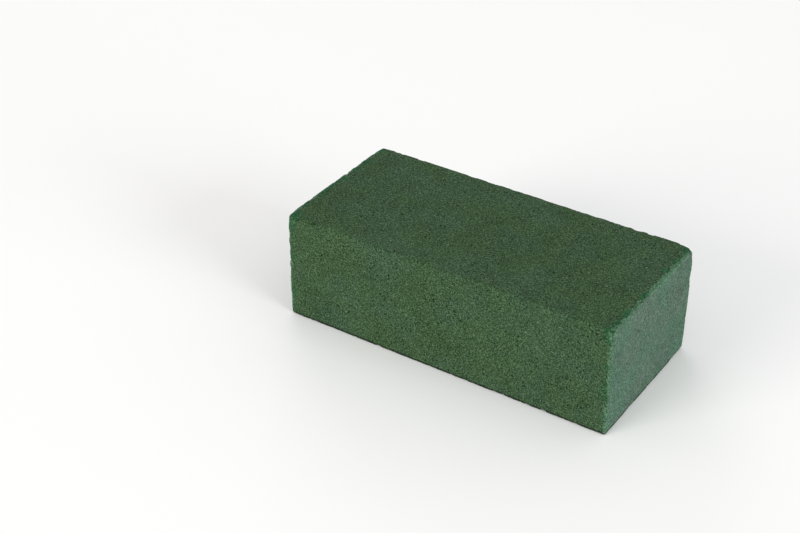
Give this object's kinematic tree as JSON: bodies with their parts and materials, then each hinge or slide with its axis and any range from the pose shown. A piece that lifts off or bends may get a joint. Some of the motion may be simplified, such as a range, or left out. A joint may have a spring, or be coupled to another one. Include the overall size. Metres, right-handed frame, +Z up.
{
  "type": "floral foam brick",
  "caption": "Rectangular block of green open-cell floral foam with worn, chipped edges and a few loose crumbs.",
  "frame": {"origin": "middle of the large face that the brick lies on", "axes": "+X along the length, +Y across the width, +Z up through the height"},
  "size_m": [0.23, 0.107, 0.075],
  "materials": {
    "foam": "matte",
    "crumbs": "matte"
  },
  "bodies": {
    "root": {"foam_brick": "foam", "loose_crumbs": "crumbs"}
  },
  "joints": []
}
